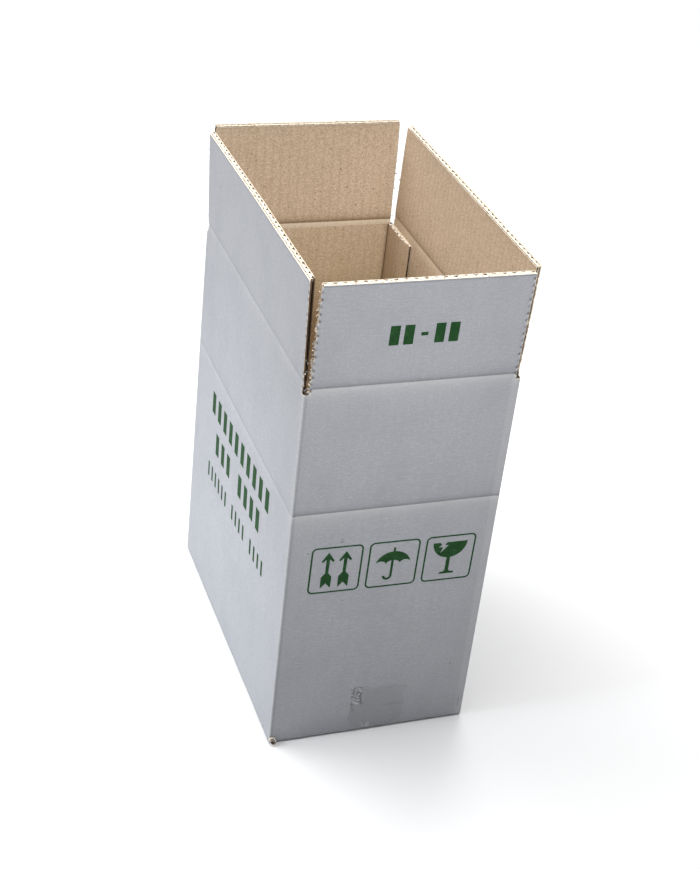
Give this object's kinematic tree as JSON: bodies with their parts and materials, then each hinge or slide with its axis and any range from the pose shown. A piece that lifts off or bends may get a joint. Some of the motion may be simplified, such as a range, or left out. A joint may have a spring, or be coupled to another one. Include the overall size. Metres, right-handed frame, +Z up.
{
  "type": "shipping box",
  "caption": "Tall corrugated shipping box, white outside and brown inside, standing open with hinged top flaps and a taped bottom.",
  "frame": {"origin": "on the underside, at the middle of the four panels", "axes": "+Z up, X across the box, Y along it, the taped and marked short front panel facing -Y"},
  "size_m": [0.1848, 0.3066, 0.4432],
  "materials": {
    "white_faced_board": "matt white liner outside, brown kraft inside",
    "clear_tape": "clear film, slightly glossy"
  },
  "bodies": {
    "box": {"box_body": "white_faced_board", "bottom_tape": "clear_tape"},
    "flap_front": {"front_flap": "white_faced_board"},
    "flap_back": {"back_flap": "white_faced_board"},
    "flap_left": {"left_flap": "white_faced_board"},
    "flap_right": {"right_flap": "white_faced_board"}
  },
  "joints": [
    {"name": "front_flap_fold", "type": "hinge", "parent": "box", "child": "flap_front", "pos_m": [0, -0.146, 0.353], "axis": [-1, 0, 0], "range_deg": [-167.1, 92.9]},
    {"name": "back_flap_fold", "type": "hinge", "parent": "box", "child": "flap_back", "pos_m": [0, 0.146, 0.353], "axis": [1, 0, 0], "range_deg": [-163.6, 96.4]},
    {"name": "left_flap_fold", "type": "hinge", "parent": "box", "child": "flap_left", "pos_m": [-0.09, 0, 0.3571], "axis": [0, 1, 0], "range_deg": [-168.6, 91.4]},
    {"name": "right_flap_fold", "type": "hinge", "parent": "box", "child": "flap_right", "pos_m": [0.09, 0, 0.3571], "axis": [0, -1, 0], "range_deg": [-168.2, 91.8]}
  ]
}
